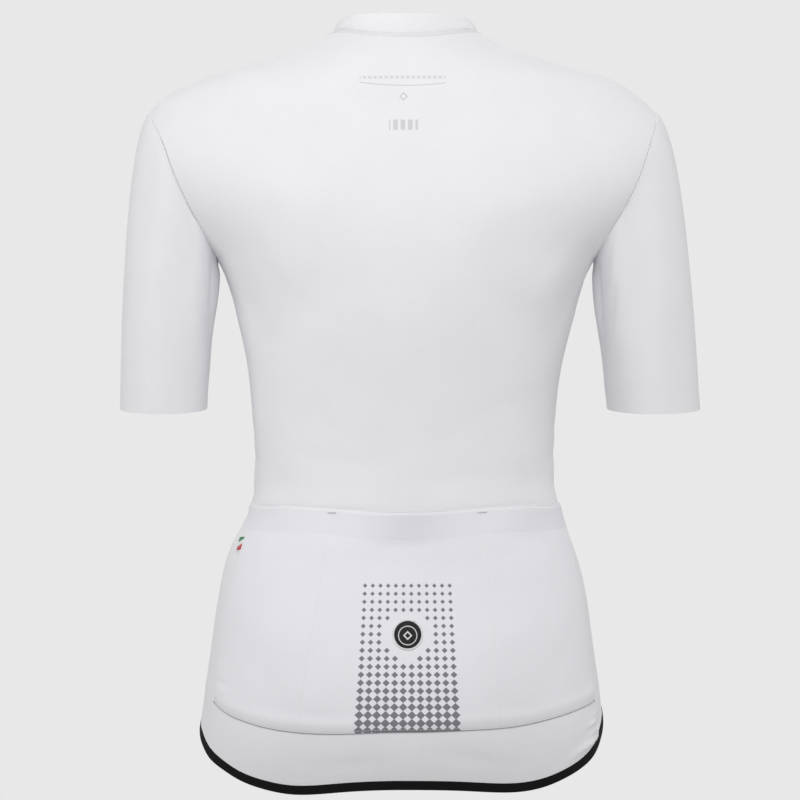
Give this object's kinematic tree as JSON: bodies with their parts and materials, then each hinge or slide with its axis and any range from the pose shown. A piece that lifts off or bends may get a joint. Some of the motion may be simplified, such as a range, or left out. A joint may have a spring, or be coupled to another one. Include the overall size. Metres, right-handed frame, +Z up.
{
  "type": "cycling jersey",
  "caption": "Short-sleeve cycling jersey with a low stand collar, a full front zip, three back pockets under an elastic band and a dropped back hem with elastic.",
  "frame": {"origin": "between the wearer's shoulders, at the height where the shoulder ridges meet the neck, midway between front and back", "axes": "+Z up along the body, -Y to the front (the zip), +Y to the back (the pockets), +X to the wearer's left"},
  "size_m": [0.4817, 0.253, 0.6348],
  "materials": {
    "white_knit": "matt",
    "pocket_elastic": "matt",
    "white_tape": "matt",
    "black_elastic": "matt",
    "badge_print": "satin",
    "flag_ribbon": "satin",
    "zip_teeth": "satin",
    "zip_metal": "satin"
  },
  "bodies": {
    "jersey": {"back": "white_knit", "front_left": "white_knit", "front_right": "white_knit", "sleeve_left": "white_knit", "sleeve_right": "white_knit", "collar": "white_knit", "neck_tape": "white_tape", "pocket_panel": "white_knit", "pocket_band": "pocket_elastic", "hem_band": "black_elastic", "badge": "badge_print", "side_tag": "flag_ribbon", "zip_tape_left": "white_tape", "zip_tape_right": "white_tape", "zip_teeth": "zip_teeth", "zip_slider": "zip_metal"},
    "zip_pull": {"zip_pull_tab": "zip_metal"}
  },
  "joints": [
    {"name": "pull_tab_swing", "type": "hinge", "parent": "jersey", "child": "zip_pull", "pos_m": [0, -0.06232, -0.03808], "axis": [-1, 0, 0], "range_deg": [0, 160]}
  ]
}
